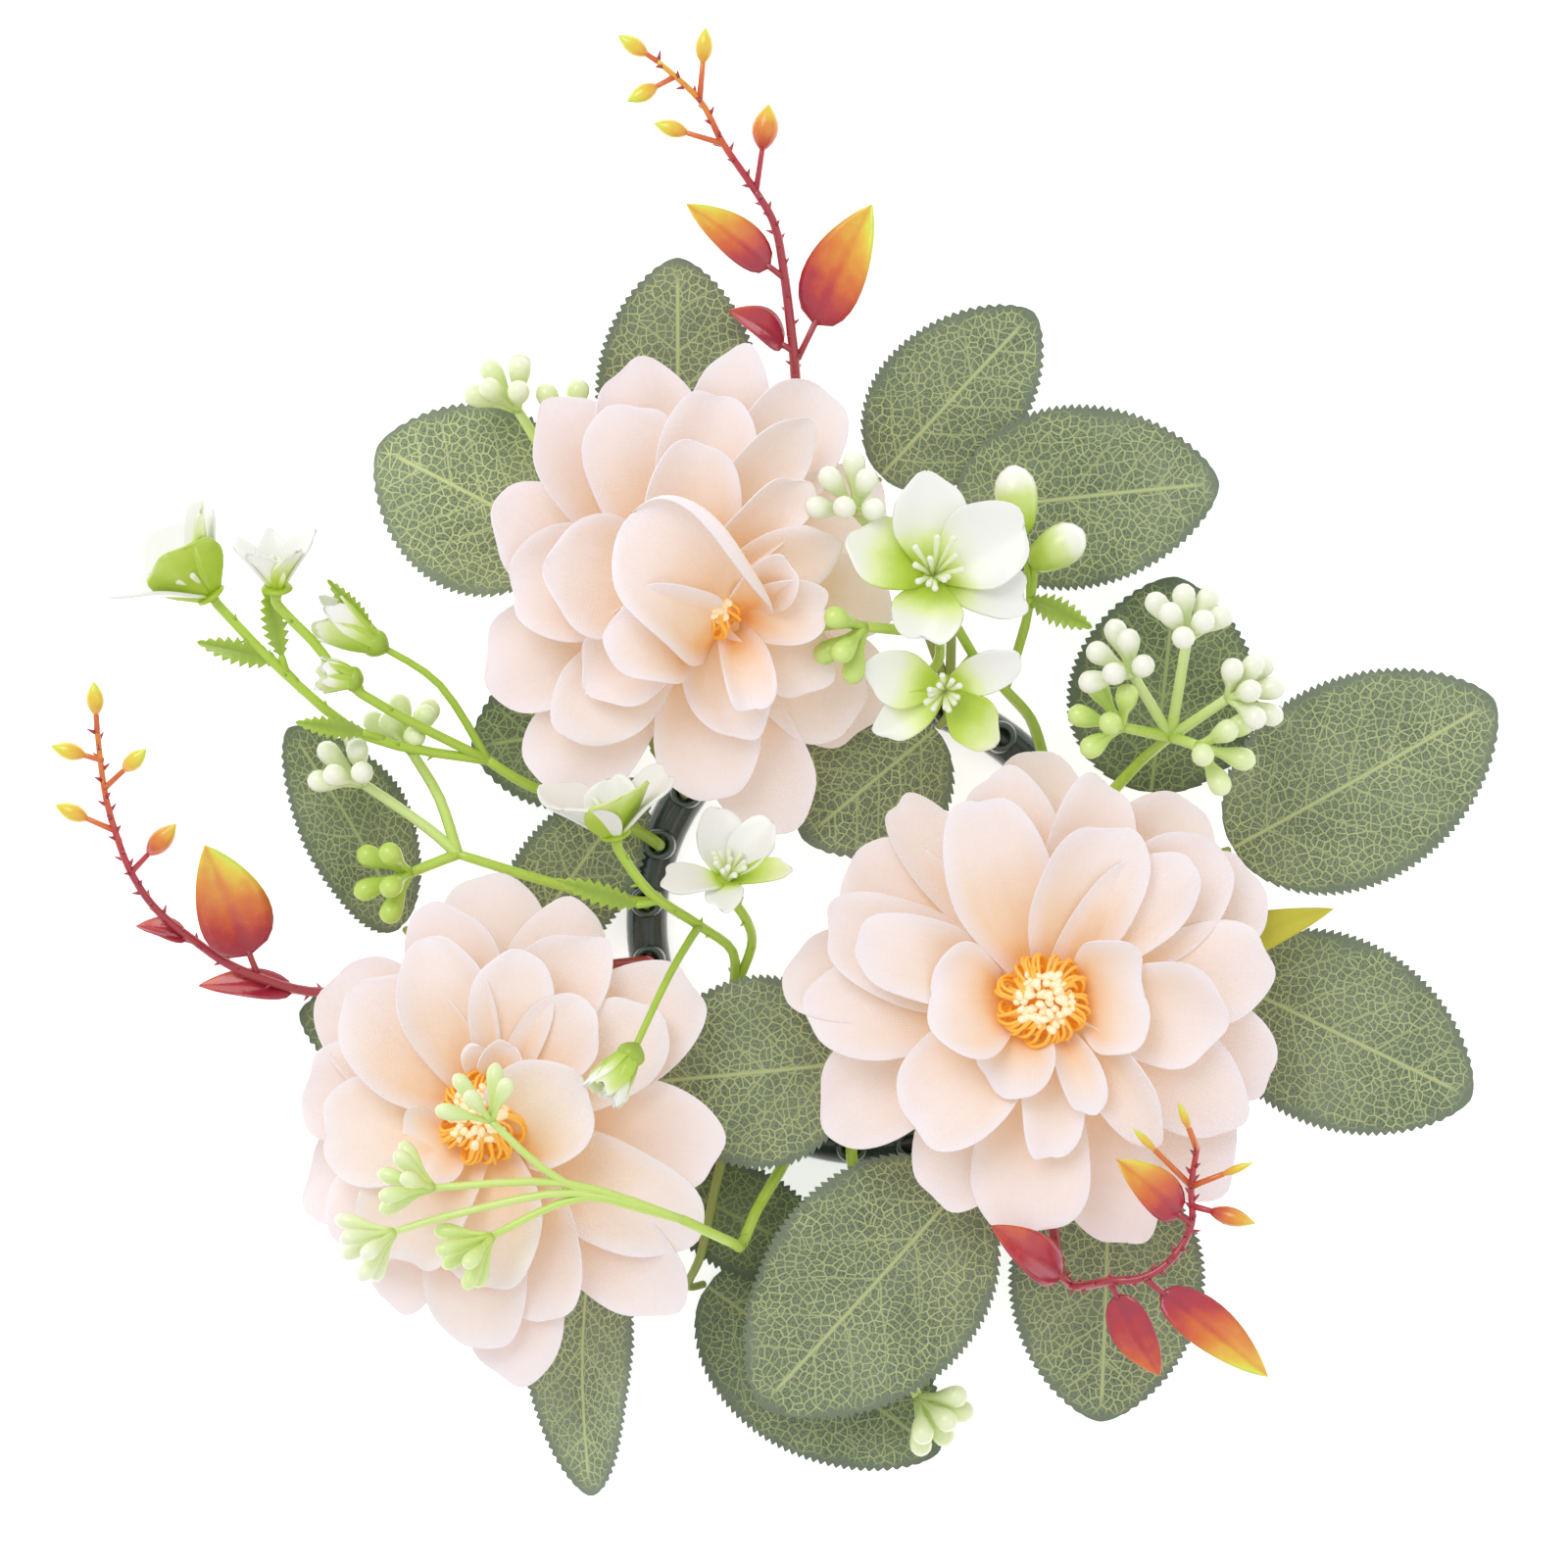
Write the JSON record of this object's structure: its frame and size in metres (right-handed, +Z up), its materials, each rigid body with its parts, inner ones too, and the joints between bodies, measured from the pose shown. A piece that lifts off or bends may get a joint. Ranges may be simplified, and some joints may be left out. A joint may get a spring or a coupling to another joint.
{
  "type": "flower crown",
  "caption": "Small artificial flower crown: a plastic socket ring holding fabric blooms, veined leaves, red sprigs, berry sprays and white blossoms.",
  "frame": {"origin": "centre of the bounding box in plan, on the plane that the ring lies on", "axes": "+Z up out of the front of the crown, the way the blooms face; +Y towards the long upright red sprig; +X to the right as the front is looked at"},
  "size_m": [0.3094, 0.3146, 0.0762],
  "materials": {
    "ring_plastic": "glossy dark green moulding",
    "bloom_stem_plastic": "satin olive green",
    "petal_fabric_outer": "pale blush woven petal fabric, matte",
    "petal_fabric_middle": "blush woven petal fabric, matte",
    "petal_fabric_inner": "blush to peach woven petal fabric, matte",
    "petal_fabric_heart": "peach woven petal fabric, matte",
    "stamen_plastic": "orange-yellow with cream tips",
    "leaf_fabric": "grey-green printed leaf fabric with a pale vein net, matte",
    "leaf_stem_plastic": "satin olive green",
    "sprig_plastic": "crimson to orange and yellow-green, glossy",
    "berry_plastic": "pale green with cream tips, translucent",
    "blossom_plastic": "white petals with a yellow-green foot",
    "blossom_stem_plastic": "yellow-green"
  },
  "bodies": {
    "crown": {"berry_spray_bottom": "berry_plastic", "berry_spray_centre": "berry_plastic", "berry_spray_left": "berry_plastic", "berry_spray_over_left_bloom": "berry_plastic", "berry_spray_right": "berry_plastic", "berry_spray_top_left": "berry_plastic", "bloom_left_stem": "bloom_stem_plastic", "bloom_right_stem": "bloom_stem_plastic", "bloom_top_stem": "bloom_stem_plastic", "blossom_centre_left": "blossom_plastic", "blossom_centre_right": "blossom_plastic", "blossom_left_inner": "blossom_plastic", "blossom_left_outer": "blossom_plastic", "blossom_right_lower": "blossom_plastic", "blossom_right_upper": "blossom_plastic", "blossom_stem_centre": "blossom_stem_plastic", "blossom_stem_left": "blossom_stem_plastic", "blossom_stem_right": "blossom_stem_plastic", "leaf_behind_berries": "leaf_fabric", "leaf_between_blooms": "leaf_fabric", "leaf_bottom_behind": "leaf_fabric", "leaf_bottom_front": "leaf_fabric", "leaf_bottom_left": "leaf_fabric", "leaf_bottom_right": "leaf_fabric", "leaf_far_left": "leaf_fabric", "leaf_inside_ring": "leaf_fabric", "leaf_left_tip": "leaf_fabric", "leaf_lower_ring": "leaf_fabric", "leaf_over_ring": "leaf_fabric", "leaf_pick_bottom_left": "leaf_stem_plastic", "leaf_pick_bottom_right": "leaf_stem_plastic", "leaf_pick_right": "leaf_stem_plastic", "leaf_pick_top_left": "leaf_stem_plastic", "leaf_pick_top_right": "leaf_stem_plastic", "leaf_right_large": "leaf_fabric", "leaf_right_lower": "leaf_fabric", "leaf_top_left": "leaf_fabric", "leaf_top_right": "leaf_fabric", "leaf_top_upright": "leaf_fabric", "leaf_under_top_bloom": "leaf_fabric", "leaf_upper_right": "leaf_fabric", "red_sprig_left": "sprig_plastic", "red_sprig_lower_right": "sprig_plastic", "red_sprig_top": "sprig_plastic", "ring_base": "ring_plastic"},
    "bloom_top_head": {"bloom_top_petals_heart": "petal_fabric_heart", "bloom_top_petals_inner": "petal_fabric_inner", "bloom_top_petals_middle": "petal_fabric_middle", "bloom_top_petals_outer": "petal_fabric_outer", "bloom_top_stamens": "stamen_plastic"},
    "bloom_right_head": {"bloom_right_petals_heart": "petal_fabric_heart", "bloom_right_petals_inner": "petal_fabric_inner", "bloom_right_petals_middle": "petal_fabric_middle", "bloom_right_petals_outer": "petal_fabric_outer", "bloom_right_stamens": "stamen_plastic"},
    "bloom_left_head": {"bloom_left_petals_heart": "petal_fabric_heart", "bloom_left_petals_inner": "petal_fabric_inner", "bloom_left_petals_middle": "petal_fabric_middle", "bloom_left_petals_outer": "petal_fabric_outer", "bloom_left_stamens": "stamen_plastic"}
  },
  "joints": [
    {"name": "bloom_top_turn", "type": "hinge", "parent": "crown", "child": "bloom_top_head", "pos_m": [-0.02116, 0.03678, 0.031], "axis": [0.2512, -0.0622, 0.9659], "range_deg": [-20, 20]},
    {"name": "bloom_right_turn", "type": "hinge", "parent": "crown", "child": "bloom_right_head", "pos_m": [0.05484, -0.04922, 0.031], "axis": [0.0105, 0.0513, 0.9986], "range_deg": [-20, 20]},
    {"name": "bloom_left_turn", "type": "hinge", "parent": "crown", "child": "bloom_left_head", "pos_m": [-0.05916, -0.07522, 0.031], "axis": [-0.18, 0.135, 0.9744], "range_deg": [-20, 20]}
  ]
}
